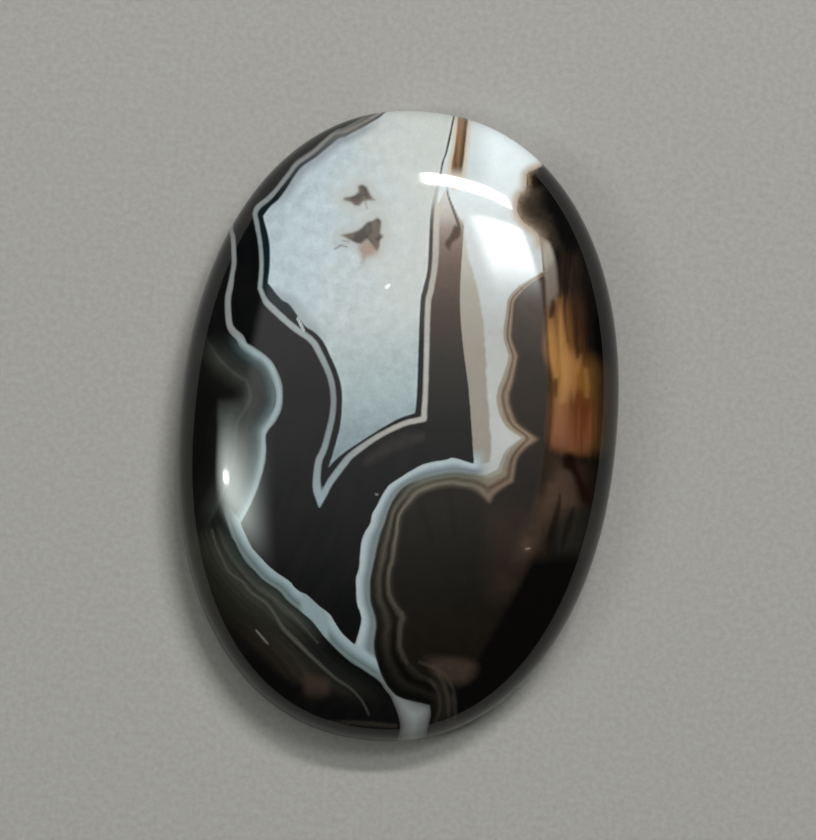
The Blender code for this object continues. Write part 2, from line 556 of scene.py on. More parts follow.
def stone_surface():
    """Vertices and faces of the whole polished surface, from the dome down to the flat back."""
    vertices = []
    faces = []

    def add(x, y, z):
        start = sum(len(block) for block in vertices)
        vertices.append(np.column_stack([x, y, np.broadcast_to(z, np.shape(x))]))
        return list(range(start, start + len(x)))

    # The dome, short of its steep rim
    s, t = square_points(TOP_ACROSS, TOP_ALONG)
    fraction, edge_x, edge_y = oval_directions(s, t)
    reach = TOP_REACH * fraction
    add(edge_x * reach, edge_y * reach, dome_height(reach))
    faces += square_faces(TOP_ACROSS, TOP_ALONG, 0)
    rim = square_rim(TOP_ACROSS, TOP_ALONG)
    rim_x, rim_y = edge_x[rim], edge_y[rim]

    # The steep rim, in rings of even height
    ring = rim
    top_of_rim = dome_height(TOP_REACH)
    for k in range(1, RIM_RINGS + 1):
        height = top_of_rim + (WALL_HEIGHT - top_of_rim) * k / RIM_RINGS
        rise = (height - WALL_HEIGHT) / (THICKNESS - WALL_HEIGHT)
        reach = (1 - rise ** DOME_FULLNESS) ** (1 / DOME_FULLNESS)
        lower = add(rim_x * reach, rim_y * reach, height)
        faces.extend(ring_faces(ring, lower))
        ring = lower

    # The wall, with half as many points round it
    wall_x, wall_y = rim_x[::2], rim_y[::2]
    foot = BACK_EDGE_RADIUS
    for k in range(1, WALL_RINGS + 1):
        height = WALL_HEIGHT + (foot - WALL_HEIGHT) * k / WALL_RINGS
        lower = add(wall_x, wall_y, height)
        faces.extend(step_down_faces(ring, lower) if k == 1 else ring_faces(ring, lower))
        ring = lower

    # The eased edge of the back
    normal_x, normal_y = oval_normals(wall_x, wall_y)
    for k in range(1, EDGE_RINGS):
        turn = math.pi / 2 * k / EDGE_RINGS
        inset = BACK_EDGE_RADIUS * (1 - math.cos(turn))
        height = foot * (1 - math.sin(turn))
        lower = add(wall_x - inset * normal_x, wall_y - inset * normal_y, height)
        faces.extend(ring_faces(ring, lower))
        ring = lower

    # The flat back
    across, along = TOP_ACROSS // 2, TOP_ALONG // 2
    fraction, edge_x, edge_y = oval_directions(*square_points(across, along))
    normal_x, normal_y = oval_normals(edge_x, edge_y)
    inset = BACK_EDGE_RADIUS * fraction ** 2
    back_x = edge_x * fraction - inset * normal_x
    back_y = edge_y * fraction - inset * normal_y
    back = add(back_x, back_y, 0.0)
    faces += [face[::-1] for face in square_faces(across, along, back[0])]
    faces.extend(ring_faces(ring, [back[k] for k in square_rim(across, along)]))

    vertices = np.vstack(vertices)
    vertices[:, 0] += (STONE_LOW[0] + STONE_HIGH[0]) / 2
    vertices[:, 1] += (STONE_LOW[1] + STONE_HIGH[1]) / 2
    vertices[:, 2] += STONE_LOW[2]
    return vertices, faces


# Where the photo shows each point

def stone_to_image(x, y, z):
    """Pixels of the photo at which a point of the stone is seen, straight down from the camera."""
    camera_x, camera_y = image_to_stone(IMAGE_WIDTH / 2, IMAGE_HEIGHT / 2)
    closer = (CAMERA_HEIGHT - WALL_HEIGHT) / (CAMERA_HEIGHT - z)
    x = (camera_x + (x - camera_x) * closer) / MM
    y = (camera_y + (y - camera_y) * closer) / MM
    right = x * math.cos(STONE_TILT) + y * math.sin(STONE_TILT)
    up = -x * math.sin(STONE_TILT) + y * math.cos(STONE_TILT)
    return STONE_CENTRE_PX[0] + right * PX_PER_MM, STONE_CENTRE_PX[1] - up * PX_PER_MM


def image_axes_to_stone(right, up):
    """Turns a direction in the photo, to the right and up, to one on the stone's own axes."""
    x = right * math.cos(STONE_TILT) - up * math.sin(STONE_TILT)
    y = right * math.sin(STONE_TILT) + up * math.cos(STONE_TILT)
    return x, y


def image_to_stone(column, row):
    """The point at the height of the stone's widest outline that the photo shows at a pixel."""
    right = (column - STONE_CENTRE_PX[0]) / PX_PER_MM
    up = (STONE_CENTRE_PX[1] - row) / PX_PER_MM
    x, y = image_axes_to_stone(right, up)
    return x * MM, y * MM


def pattern_pixels(vertices):
    """Where in the photo's pattern each vertex lies, and how far below the dome it is.

    On the dome this is where the photo shows the vertex. Below it, on the wall and the back, the
    bands have leaned and wandered on their way down.
    """
    x, y, z = vertices.T
    top = dome_height(full_length(x / HALF_WIDTH, y / HALF_LENGTH))
    depth = np.maximum(top - z, 0)
    depth[depth < ON_DOME] = 0
    columns, rows = stone_to_image(x, y, top)
    noise.seed_set(WANDER_SEED)
    for k in np.nonzero(depth)[0]:
        drift = noise.noise_vector(Vector((x[k], y[k], z[k])) / WANDER_SIZE)
        shift = depth[k] / MM * PX_PER_MM
        columns[k] += shift * (BAND_LEAN[0] + BAND_WANDER * drift.x)
        rows[k] += shift * (BAND_LEAN[1] + BAND_WANDER * drift.y)
    return np.column_stack([columns, rows]), depth


def add_object(name, data):
    added = bpy.data.objects.new(name, data)
    bpy.context.scene.collection.objects.link(added)
    return added


def store(mesh, name, values):
    layer = mesh.attributes.new(name, "FLOAT", "POINT")
    layer.data.foreach_set("value", np.asarray(values, np.float32))


def make_stone():
    vertices, faces = stone_surface()
    mesh = bpy.data.meshes.new("polished_stone")
    mesh.from_pydata(vertices.tolist(), [], faces)
    mesh.shade_smooth()
    pixels, depth = pattern_pixels(vertices)
    store(mesh, "across", (pixels[:, 0] - STONE_CENTRE_PX[0]) / PX_PER_MM)
    store(mesh, "along", (STONE_CENTRE_PX[1] - pixels[:, 1]) / PX_PER_MM)
    store(mesh, "depth", depth / MM)
    for shapes, measure in ((ZONES, zone_depth), (LINES, line_depth), (EDGES, edge_offset)):
        for name, shape in shapes.items():
            store(mesh, name, measure(shape, pixels))
    return add_object("polished_stone", mesh)


# Materials

def linear(red, green, blue):
    """A colour from its screen values, 0 to 255, as the shader takes it, by the sRGB rule."""
    def one(value):
        value /= 255
        return value / 12.92 if value <= 0.04045 else ((value + 0.055) / 1.055) ** 2.4
    return (one(red), one(green), one(blue), 1.0)


class Shading:
    """Short calls that add nodes to a material or a light. Each returns its result's socket."""

    def __init__(self, owner):
        owner.use_nodes = True
        self.nodes = owner.node_tree.nodes
        self.links = owner.node_tree.links
        self.fields = {}

    def put(self, value, socket):
        """Gives a socket another one's result, a number, or a colour by its screen values."""
        if isinstance(value, bpy.types.NodeSocket):
            self.links.new(value, socket)
        elif isinstance(value, tuple):
            socket.default_value = linear(*value)[:len(socket.default_value)]
        else:
            socket.default_value = value

    def node(self, kind, inputs, **settings):
        """Adds a node. The inputs say what goes into which socket."""
        node = self.nodes.new("ShaderNode" + kind)
        for name, setting in settings.items():
            setattr(node, name, setting)
        for socket, value in inputs.items():
            self.put(value, node.inputs[socket])
        return node

    def field(self, name):
        """What the mesh stores under a name."""
        if name not in self.fields:
            node = self.node("Attribute", {}, attribute_type="GEOMETRY", attribute_name=name)
            self.fields[name] = node.outputs["Fac"]
        return self.fields[name]

    def math(self, operation, first, second):
        return self.node("Math", {0: first, 1: second}, operation=operation).outputs[0]

    def add(self, first, second):
        return self.math("ADD", first, second)

    def less(self, first, second):
        return self.math("SUBTRACT", first, second)

    def larger(self, first, second):
        return self.math("MAXIMUM", first, second)

    def times(self, first, *others):
        for other in others:
            first = self.math("MULTIPLY", first, other)
        return first

    def vector(self, x, y, z):
        return self.node("CombineXYZ", {"X": x, "Y": y, "Z": z}).outputs[0]

    def spread(self, value, low, high, start=0.3, end=0.7, interpolation="LINEAR"):
        """Carries a value from one range, which noise mostly keeps within, over to another."""
        inputs = {"Value": value, "From Min": start, "From Max": end, "To Min": low, "To Max": high}
        return self.node("MapRange", inputs, interpolation_type=interpolation).outputs["Result"]

    def fade(self, value, low, high):
        """0 below low, 1 above high, and a smooth rise between. With low above high, it falls."""
        first, last = (0.0, 1.0) if low < high else (1.0, 0.0)
        return self.spread(value, first, last, min(low, high), max(low, high), "SMOOTHSTEP")

    def mix(self, factor, under, over, blend="MIX"):
        """Puts one colour over another, as strongly as the factor says."""
        inputs = {"Factor": factor, MIX_UNDER: under, MIX_OVER: over}
        return self.node("Mix", inputs, data_type="RGBA", blend_type=blend).outputs[MIX_RESULT]

    def shade(self, colour, factor):
        """Makes a colour lighter or darker by a factor."""
        return self.node("VectorMath", {0: colour, "Scale": factor}, operation="SCALE").outputs[0]

    def vary(self, colour, noise, amount):
        """Makes a colour lighter and darker by up to an amount, as noise round 0.5 goes."""
        return self.shade(colour, self.spread(noise, 1 - amount, 1 + amount))

    def profile(self, value, *stops):
        """A colour that changes along a value: each stop is a value and three screen values."""
        low, high = stops[0][0], stops[-1][0]
        node = self.node("ValToRGB", {"Fac": self.spread(value, 0.0, 1.0, low, high)})
        elements = node.color_ramp.elements
        while len(elements) < len(stops):
            elements.new(1.0)
        for element, (place, *colour) in zip(elements, stops):
            element.position = (place - low) / (high - low)
            element.color = linear(*colour)
        return node.outputs["Color"]

    def noise(self, place, scale, detail=2.0, roughness=0.5, distortion=0.0):
        """Soft noise round 0.5. The scale is its lumps to each unit of place."""
        inputs = {"Vector": place, "Scale": scale, "Detail": detail, "Roughness": roughness,
                  "Distortion": distortion}
        return self.node("TexNoise", inputs).outputs["Fac"]


class Agate(Shading):
    """Paints the stone's colours one over another, from the dark body up to painted pit glints.

    Places and depths are in millimetres. Places are counted from the stone's middle in the photo:
    across to the right, and along upwards. A zone's or a line's own field is the depth in it.
    """

    def __init__(self, material):
        super().__init__(material)
        self.across, self.along = self.field("across"), self.field("along")
        place = self.vector(self.across, self.along, self.field("depth"))
        drawn_out = self.vector(
            self.times(self.across, 2.0), self.times(self.along, 0.16), self.field("depth"))
        self.large = self.noise(place, scale=0.35, detail=3)
        self.medium = self.noise(place, scale=1.0, detail=4, roughness=0.55)
        self.cloud = self.noise(place, scale=1.15, detail=6, roughness=0.66, distortion=0.25)
        self.wisp = self.noise(place, scale=1.5, detail=5, roughness=0.65, distortion=0.9)
        self.fine = self.noise(place, scale=6.0, detail=3, roughness=0.6)
        self.streak = self.noise(drawn_out, scale=1.0, detail=4, roughness=0.55, distortion=0.5)
        self.tremble = self.spread(self.noise(place, scale=1.4), -0.012, 0.012)

    def fade_across(self, low, high):
        return self.fade(self.across, low, high)

    def fade_along(self, low, high):
        return self.fade(self.along, low, high)

    def banding(self, edge, scale):
        """Fine growth bands that follow an edge, as noise round 0.5, so many to the millimetre."""
        place = self.vector(self.times(self.field(edge), scale), self.times(self.along, 0.12), 0.0)
        return self.noise(place, scale=1.0, detail=3, roughness=0.6)

    def zone(self, name, softness=0.10, start=0.0):
        """1 inside a zone or line and 0 outside it. The edge lies at the depth start, is as wide
        as the softness and trembles a little."""
        depth = self.add(self.field(name), self.tremble)
        return self.fade(depth, start - softness / 2, start + softness / 2)

    def stroke(self, name, low, high, strength):
        """How strongly a line or zone shows: it fades in from low to high depth."""
        return self.times(self.fade(self.field(name), low, high), strength)

    def within(self, value, low, high, softness):
        """1 where a value is between two others, and 0 further off than the softness."""
        above = self.fade(value, low - softness, low)
        return self.times(above, self.fade(value, high + softness, high))

    def share(self, outer, inner):
        """How far over a band a point is: 0 at the outer zone's edge, and 1 at the inner one's."""
        width = self.less(outer, self.field(inner))
        return self.math("DIVIDE", outer, self.larger(width, NARROWEST_BAND))

    def body(self):
        """Black stone, brown at the right, with dull bands beside the net at the lower left."""
        colour = self.mix(self.fade(self.large, 0.38, 0.62), (8, 9, 10), (14, 14, 13))
        colour = self.vary(colour, self.banding("lobe_edge", 1.6), 0.3)
        haze = self.stroke("haze", -0.45, 0.3, self.spread(self.wisp, 0.4, 0.9))
        colour = self.mix(haze, colour, (50, 45, 43))
        streaks = self.fade(self.streak, 0.34, 0.66)
        streaky = self.mix(streaks, (17, 13, 10), (43, 33, 25))
        # Painted reflection: the brown at the right darkens to black towards the rim, where the
        # steep rim mirrors dark surroundings.
        streaky = self.shade(streaky, self.fade_across(14.3, 11.5))
        plain = self.profile(
            self.along, (-8.5, 34, 32, 28), (-5.8, 40, 36, 30), (-4.8, 44, 30, 20),
            (-2.5, 48, 32, 19))
        # The same painted darkening towards the right rim.
        plain = self.shade(plain, self.fade_across(14.4, 11.8))
        streaky = self.mix(self.fade_along(-2.2, -3.0), streaky, plain)
        right = self.fade_across(10.3, 11.2)
        right = self.times(right, self.within(self.along, -8.5, 11.0, 2.5))
        colour = self.mix(right, colour, streaky)

        from_edge = self.field("lower_edge")
        upper_bands = self.profile(
            from_edge, (-5.0, 10, 10, 8), (-4.2, 20, 19, 15), (-3.5, 27, 25, 19),
            (-3.0, 31, 30, 24), (-2.6, 36, 35, 29), (-2.0, 45, 44, 38), (-1.6, 51, 50, 44),
            (-1.2, 58, 58, 53), (-0.9, 50, 51, 45), (-0.65, 70, 72, 66), (-0.4, 56, 60, 55),
            (-0.15, 46, 52, 48), (0.0, 46, 52, 48))
        lower_bands = self.profile(
            from_edge, (-5.0, 8, 8, 7), (-4.2, 22, 19, 15), (-3.5, 38, 32, 26), (-2.6, 44, 41, 35),
            (-2.0, 36, 34, 29), (-1.5, 32, 32, 28), (-0.9, 24, 25, 22), (-0.4, 13, 16, 14),
            (0.0, 9, 12, 11))
        bands = self.mix(self.fade_along(-12.6, -15.4), upper_bands, lower_bands)
        bands = self.vary(bands, self.banding("lower_edge", 3.0), 0.28)
        bands = self.mix(self.zone("left_dark", 0.9), bands, (9, 8, 6))
        red = self.times(self.zone("left_red_patch", 0.7, 0.1), self.spread(self.cloud, 0.6, 1.0))
        bands = self.mix(red, bands, (66, 53, 44))
        shown = self.times(
            self.fade(from_edge, 0.1, 0.0),
            self.fade_along(-6.0, -8.5), self.fade_along(-19.4, -17.6))
        return self.mix(shown, colour, bands)

    def lobe(self, colour):
        """The lobe at the left: a grey blue line, and a glow inside it that dims away from it."""
        from_edge = self.field("lobe_edge")
        glow = self.profile(
            from_edge, (-3.6, 11, 11, 9), (-2.6, 18, 18, 15), (-2.0, 38, 39, 35),
            (-1.6, 50, 52, 48), (-1.45, 64, 66, 62), (-1.25, 46, 48, 44), (-0.8, 41, 44, 41),
            (-0.4, 40, 46, 45), (-0.1, 62, 74, 74), (0.15, 80, 96, 98))
        inside = self.times(
            self.fade(from_edge, 0.35, 0.2), self.within(self.along, -5.0, 4.4, 2.2))
        colour = self.mix(inside, colour, self.shade(glow, self.spread(self.medium, 0.95, 1.25)))
        milk = self.times(
            self.fade_across(-12.55, -12.2), self.fade_along(2.2, 0.8),
            self.fade_along(-5.2, -3.6), self.fade(from_edge, -1.2, -2.0))
        colour = self.mix(milk, colour, self.vary((62, 65, 62), self.wisp, 0.2))
        line = self.profile(
            from_edge, (0.05, 82, 97, 99), (0.25, 110, 126, 129), (0.42, 150, 165, 168),
            (0.58, 158, 172, 176), (0.75, 130, 140, 142))
        upper = self.fade_along(5.0, 7.0)
        line = self.mix(upper, line, (140, 142, 141))
        line = self.vary(line, self.medium, 0.08)
        return self.mix(self.zone("lobe_line", 0.16), colour, line)

    def column(self, colour):
        """The column right of the milky zone: pinkish brown at its top, and black at its foot."""
        brown = self.profile(
            self.along, (-3.2, 12, 12, 11), (-0.3, 16, 16, 13), (4.5, 43, 40, 34),
            (7.95, 69, 56, 48), (11.0, 102, 83, 72), (12.4, 126, 108, 97), (13.5, 152, 136, 126),
            (14.3, 180, 172, 164), (15.1, 198, 194, 188), (16.4, 208, 206, 202))
        brown = self.vary(brown, self.wisp, 0.08)
        return self.mix(self.zone("brown_column", 0.10), colour, brown)

    def milky(self, colour):
        """Cloudy quartz, bluish at the left and below, warmer at the upper right."""
        beside = self.within(self.field("milky"), -0.5, 0.0, 0.2)
        left = self.profile(
            self.along, (6.5, 8, 9, 10), (8.0, 15, 30, 36), (14.5, 15, 30, 36), (15.5, 22, 30, 34),
            (16.5, 42, 44, 46), (17.7, 62, 67, 71), (18.8, 82, 83, 85), (20.0, 94, 94, 93),
            (20.8, 114, 114, 111), (22.0, 128, 128, 124))
        right = self.profile(
            self.along, (4.5, 12, 12, 12), (6.6, 40, 39, 36), (8.0, 50, 48, 44), (9.3, 58, 56, 52),
            (13.2, 62, 60, 56), (14.0, 85, 83, 79), (14.8, 122, 121, 117), (15.4, 172, 171, 168),
            (16.4, 180, 179, 176), (17.2, 120, 118, 114), (18.0, 90, 87, 82), (18.7, 70, 67, 60),
            (20.5, 64, 60, 52))
        gap = self.mix(self.fade_across(-4.0, -1.0), left, right)
        shown = self.larger(self.fade_across(-6.0, -7.5), self.fade_across(0.5, 1.5))
        shown = self.larger(shown, self.fade_along(15.0, 16.0))
        shown = self.times(beside, shown, self.fade_along(4.5, 8.0))
        colour = self.mix(shown, colour, gap)

        warmth = self.add(self.fade_across(-8.0, 2.5), self.spread(self.large, -0.2, 0.2))
        quartz = self.mix(warmth, (183, 197, 203), (198, 201, 197))
        low = self.profile(
            self.along, (-3.0, 128, 143, 148), (-0.5, 138, 153, 157), (1.8, 162, 177, 179),
            (5.2, 177, 188, 188), (9.5, 199, 207, 206))
        quartz = self.mix(self.fade_along(10.0, 5.5), quartz, low)
        strength = self.larger(self.fade_across(3.0, -5.0), self.fade_along(9.0, 4.0))
        strength = self.spread(strength, 0.35, 1.0, 0.0, 1.0)
        clouds = self.times(self.spread(self.cloud, -0.15, 0.15), strength)
        clouds = self.add(clouds, 1.0)
        from_vein = self.math("ABSOLUTE", self.less(self.wisp, 0.52), 0.0)
        veins = self.add(1.0, self.times(self.fade(from_vein, 0.03, 0.0), 0.05))
        quartz = self.shade(quartz, self.times(clouds, veins, self.spread(self.fine, 0.98, 1.02)))

        near = self.larger(self.field("upper_inclusion"), self.field("lower_inclusion"))
        stained = self.times(self.fade(near, -1.1, 0.0), self.spread(self.cloud, 0.2, 0.75))
        quartz = self.mix(stained, quartz, (176, 170, 160))
        rim = self.within(self.field("milky"), 0.04, 0.12, 0.06)
        quartz = self.shade(quartz, self.spread(rim, 1.0, 1.06, 0.0, 1.0))
        shoulder = self.times(self.fade_along(14.0, 16.5), self.fade_across(-0.5, -2.5))
        hazy = self.times(
            self.fade(self.field("milky"), 0.85, 0.15), shoulder, self.spread(self.cloud, 0.5, 1.0))
        quartz = self.mix(hazy, quartz, (142, 148, 154))
        dull = self.times(
            self.fade(self.field("milky"), 1.1, 0.2), self.fade_across(-4.6, -5.8),
            self.within(self.along, 5.4, 8.8, 1.0), self.spread(self.cloud, 0.5, 0.9))
        quartz = self.mix(dull, quartz, (146, 156, 160))
        return self.mix(self.zone("milky", 0.16), colour, quartz)

    def pale_line(self, colour):
        """The pale line round the milky zone, warmer at the right."""
        left = self.profile(
            self.along, (-6.0, 150, 168, 178), (-3.5, 142, 153, 156), (2.0, 122, 131, 133),
            (5.0, 148, 157, 157), (7.0, 156, 164, 163), (12.0, 146, 156, 157),
            (15.0, 142, 150, 151), (18.8, 134, 134, 133), (20.2, 122, 120, 116))
        right = self.profile(
            self.along, (-5.0, 156, 161, 161), (-0.5, 174, 170, 162), (5.0, 178, 176, 170),
            (11.5, 178, 170, 160), (14.0, 192, 184, 172), (16.0, 206, 202, 194),
            (17.5, 214, 216, 214))
        rightward = self.add(self.across, self.times(self.fade_along(8.0, 12.0), -2.0))
        pale = self.mix(self.fade(rightward, -5.0, 0.5), left, right)
        pale = self.vary(pale, self.wisp, 0.08)
        return self.mix(self.zone("pale_line", 0.18), colour, pale)

    def net(self, colour):
        """The white net: white at the right, and grey blue bands with a darker seam below."""
        outer = self.field("net")
        # Whitest at the top: partly the net's own white, partly a painted reflection of a window
        # mirrored at the top right.
        white = self.profile(
            self.along, (-3.5, 176, 178, 175), (-1.0, 188, 189, 186), (6.5, 178, 179, 175),
            (8.7, 190, 194, 193), (13.0, 208, 212, 212), (17.5, 228, 237, 238),
            (19.5, 234, 243, 245))
        # Painted reflection: at the top the white is dimmed left of across 6.7, where the mirrored
        # window ends.
        dimmer = self.spread(self.across, 0.76, 1.0, 5.2, 6.7)
        white = self.mix(self.fade_along(15.5, 17.5), white, self.shade(white, dimmer))
        beige = self.profile(
            self.along, (-2.5, 149, 141, 130), (5.0, 153, 145, 133), (9.5, 166, 160, 148),
            (13.0, 198, 197, 186))
        ragged = self.add(self.field("beige_column"), self.spread(self.medium, -0.09, 0.09))
        colours = self.mix(self.fade(ragged, -0.13, 0.13), white, beige)

        bluish = self.profile(
            self.share(outer, "pocket"), (0.0, 156, 167, 170), (0.1, 176, 188, 191),
            (0.25, 172, 185, 188), (0.4, 156, 169, 174), (0.6, 127, 139, 144),
            (0.72, 114, 124, 128), (0.86, 118, 128, 128), (1.0, 108, 114, 111))
        lower = self.times(self.fade_across(6.4, 5.2), self.fade_along(-1.4, -2.6))
        colours = self.mix(lower, colours, bluish)

        from_edge = self.field("lower_edge")
        lower_band = self.profile(
            from_edge, (0.0, 92, 106, 103), (0.12, 118, 131, 130), (0.32, 98, 113, 115),
            (0.5, 124, 140, 143), (0.75, 152, 168, 172), (1.0, 162, 176, 180))
        seamless = self.within(self.across, -6.4, -5.0, 0.5)
        lower_band = self.mix(seamless, lower_band, (142, 158, 161))
        beside = self.times(lower, self.fade(from_edge, 1.35, 0.95))
        colours = self.mix(beside, colours, lower_band)
        foot = self.profile(outer, (0.0, 84, 86, 83), (0.3, 128, 131, 129), (0.9, 158, 163, 163))
        colours = self.mix(self.fade_along(-16.6, -18.0), colours, foot)

        beside_rust = self.stroke("rust_stripe", -0.45, -0.08, 0.95)
        colours = self.mix(beside_rust, colours, (203, 190, 172))
        stained = self.times(self.fade(outer, 0.75, 0.05), self.upper_right())
        colours = self.mix(stained, colours, (184, 168, 150))
        clouds = self.spread(self.cloud, 0.96, 1.04)
        clouds = self.times(clouds, self.spread(self.fine, 0.985, 1.015))
        faint = self.larger(self.fade_along(-5.0, -6.8), self.fade_across(-11.0, -9.5))
        shown = self.times(self.zone("net", 0.12), faint)
        return self.mix(shown, colour, self.shade(colours, clouds))

    def fringe(self, colour):
        """Fine brown and cream bands between the net and the core, darker at the left and below."""
        share = self.share(self.field("pocket"), "core")
        share = self.add(share, self.spread(self.medium, -0.04, 0.04))
        below = self.fade_along(-0.8, -2.2)
        shift = self.times(below, self.fade_across(5.0, 7.0), -0.2)
        scallops = self.profile(
            self.add(share, shift), (-0.2, 172, 168, 157), (0.0, 168, 162, 148),
            (0.15, 146, 137, 121), (0.27, 150, 136, 119), (0.4, 132, 116, 98), (0.5, 102, 82, 62),
            (0.58, 106, 87, 68), (0.74, 138, 119, 103), (0.88, 122, 102, 86), (1.0, 92, 73, 58),
            (1.15, 62, 48, 36))
        olive = self.profile(
            share, (0.0, 112, 117, 111), (0.1, 92, 95, 86), (0.33, 96, 97, 85), (0.5, 74, 70, 56),
            (0.62, 82, 76, 63), (0.8, 108, 103, 88), (0.92, 98, 93, 80), (1.05, 74, 68, 56))
        dark = self.profile(
            share, (0.0, 84, 88, 84), (0.06, 54, 55, 49), (0.13, 36, 36, 29), (0.24, 54, 52, 43),
            (0.43, 94, 88, 76), (0.54, 70, 64, 53), (0.64, 38, 33, 25), (0.74, 50, 43, 34),
            (0.84, 96, 89, 78), (0.93, 112, 105, 92), (1.05, 66, 59, 49))
        dimness = self.profile(
            self.along, (-19.0, 90, 90, 90), (-16.5, 104, 104, 104), (-14.0, 150, 150, 150),
            (-11.0, 188, 188, 188), (-9.0, 212, 212, 212), (-6.0, 250, 250, 250))
        at_top = self.times(self.fade_across(-0.2, 1.8), self.fade_along(-8.0, -5.5))
        bands = self.mix(at_top, self.mix(1.0, dark, dimness, "MULTIPLY"), olive)
        scallops = self.shade(scallops, self.spread(below, 1.0, 0.74, 0.0, 1.0))
        bands = self.mix(self.fade_across(4.6, 6.6), bands, scallops)
        at_foot = self.times(self.fade_along(-14.5, -16.5), self.fade_across(2.0, 3.5))
        bands = self.mix(at_foot, bands, (38, 34, 27))
        bands = self.vary(bands, self.wisp, 0.07)
        ends = self.fade_across(10.4, 9.9)
        return self.mix(self.times(self.zone("pocket", 0.14), ends), colour, bands)

    def core(self, colour):
        """Smoky stone: brown behind the scallops, and darker down through the pocket."""
        smoke = self.profile(
            self.along, (-18.0, 10, 8, 6), (-16.5, 24, 19, 14), (-13.5, 26, 21, 15),
            (-11.9, 22, 19, 14), (-8.5, 22, 19, 13), (-5.4, 29, 25, 19), (-3.7, 28, 21, 14),
            (1.1, 36, 27, 18), (4.5, 40, 31, 22), (7.95, 68, 57, 49), (9.8, 80, 68, 59))
        reddish = self.times(
            self.within(self.across, 7.2, 9.5, 2.2), self.within(self.along, -11.0, -6.5, 2.0),
            self.spread(self.large, 0.45, 1.0))
        smoke = self.mix(reddish, smoke, (44, 34, 25))
        streaks = self.stroke("core_streaks", -0.25, 0.15, 0.6)
        smoke = self.mix(streaks, smoke, (15, 13, 10))
        smoke = self.vary(smoke, self.medium, 0.14)
        shown = self.larger(self.fade_across(11.2, 10.2), self.fade_along(-8.0, -10.0))
        colour = self.mix(self.times(self.zone("core", 0.42, 0.12), shown), colour, smoke)
        glow = self.mix(self.fade(self.large, 0.36, 0.64), (54, 42, 33), (76, 59, 48))
        glow = self.vary(glow, self.streak, 0.1)
        colour = self.mix(self.zone("right_glow", 1.3, 0.3), colour, glow)
        # Painted reflection: a black patch at the lower right, partly the stone's own dark colour
        # and partly a dark shape mirrored in the polish.
        slant = self.less(self.times(self.across, 1.85), self.along)
        slant = self.add(slant, self.spread(self.medium, -0.3, 0.3))
        black = self.times(self.fade(slant, 25.4, 27.0), self.fade_along(-8.2, -9.7))
        colour = self.mix(black, colour, (7, 5, 4))
        patch = self.zone("lower_red_patch", 1.0, 0.25)
        patch = self.times(patch, self.spread(self.cloud, 0.5, 0.95))
        return self.mix(patch, colour, (72, 59, 49))

    def upper_right(self):
        """1 at the stone's upper right, where the net ends in a dark shoulder."""
        return self.times(self.fade_across(6.6, 8.0), self.fade_along(11.6, 12.6))

    def right_side(self, colour):
        """The dark shoulder beside the net, and the pink strip and the amber below it."""
        ragged = self.add(self.field("net"), self.spread(self.cloud, -0.14, 0.14))
        shoulder = self.profile(
            ragged, (-2.6, 10, 9, 8), (-1.9, 16, 14, 12), (-1.5, 34, 29, 24), (-1.2, 46, 39, 32),
            (-0.85, 54, 45, 37), (-0.55, 72, 61, 51), (-0.3, 96, 82, 70), (-0.12, 120, 104, 90),
            (0.1, 176, 162, 146))
        claw = self.profile(
            ragged, (-1.6, 8, 7, 6), (-0.9, 20, 14, 10), (-0.4, 42, 31, 20), (-0.15, 104, 86, 68),
            (0.1, 170, 152, 132))
        claw_place = self.add(self.along, self.spread(self.medium, -0.4, 0.4))
        claw_place = self.fade(claw_place, 16.0, 16.9)
        shoulder = self.mix(claw_place, shoulder, claw)
        shoulder = self.vary(shoulder, self.wisp, 0.28)
        lean = self.add(self.times(self.along, 0.33), self.spread(self.medium, -0.25, 0.25))
        slant = self.add(self.across, lean)
        shoulder = self.mix(self.fade(slant, 14.6, 15.8), shoulder, (10, 9, 8))
        shown = self.times(self.fade(ragged, 0.15, -0.1), self.upper_right())
        colour = self.mix(shown, colour, shoulder)

        slant = self.add(self.along, self.add(self.times(self.across, -1.2), 12.2))
        strip = self.profile(
            slant, (7.2, 98, 74, 58), (8.3, 124, 107, 95), (9.6, 128, 116, 107),
            (10.4, 132, 122, 112), (11.1, 162, 153, 141), (12.3, 172, 163, 150),
            (13.1, 158, 148, 134))
        strip = self.vary(strip, self.streak, 0.12)
        colour = self.mix(self.zone("pink_strip", 0.4, 0.05), colour, strip)

